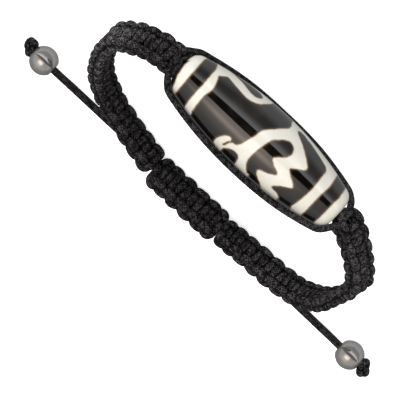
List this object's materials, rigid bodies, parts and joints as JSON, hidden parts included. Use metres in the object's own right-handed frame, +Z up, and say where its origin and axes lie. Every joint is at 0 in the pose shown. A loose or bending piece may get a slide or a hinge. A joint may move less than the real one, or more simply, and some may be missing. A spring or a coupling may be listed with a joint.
{
  "type": "dzi bead bracelet",
  "caption": "Square-knotted cord bracelet with one long barrel-shaped patterned agate bead, closed by a sliding knot on two tails that end in drilled metal balls.",
  "frame": {"origin": "on the ground under the middle of the loop, the tails left out", "axes": "+X along the stone bead to the right of the picture, +Y from the sliding knot to the stone, +Z up, through the loop, from the side that lies on the ground"},
  "size_m": [0.0963, 0.0474, 0.0171],
  "materials": {
    "agate": "polished, dark brown-black with etched cream pattern",
    "waxed_cord": "braided waxed polyester, charcoal black, slight sheen",
    "gunmetal": "polished grey gunmetal"
  },
  "bodies": {
    "root": {"dzi_bead": "agate", "core_cord": "waxed_cord", "side_cord_near": "waxed_cord", "side_cord_far": "waxed_cord", "band_left": "waxed_cord", "band_right": "waxed_cord", "sliding_knot": "waxed_cord", "tail_cord_left": "waxed_cord", "tail_cord_right": "waxed_cord", "metal_bead_left": "gunmetal", "metal_bead_right": "gunmetal", "end_knot_left": "waxed_cord", "end_knot_right": "waxed_cord"}
  },
  "joints": []
}
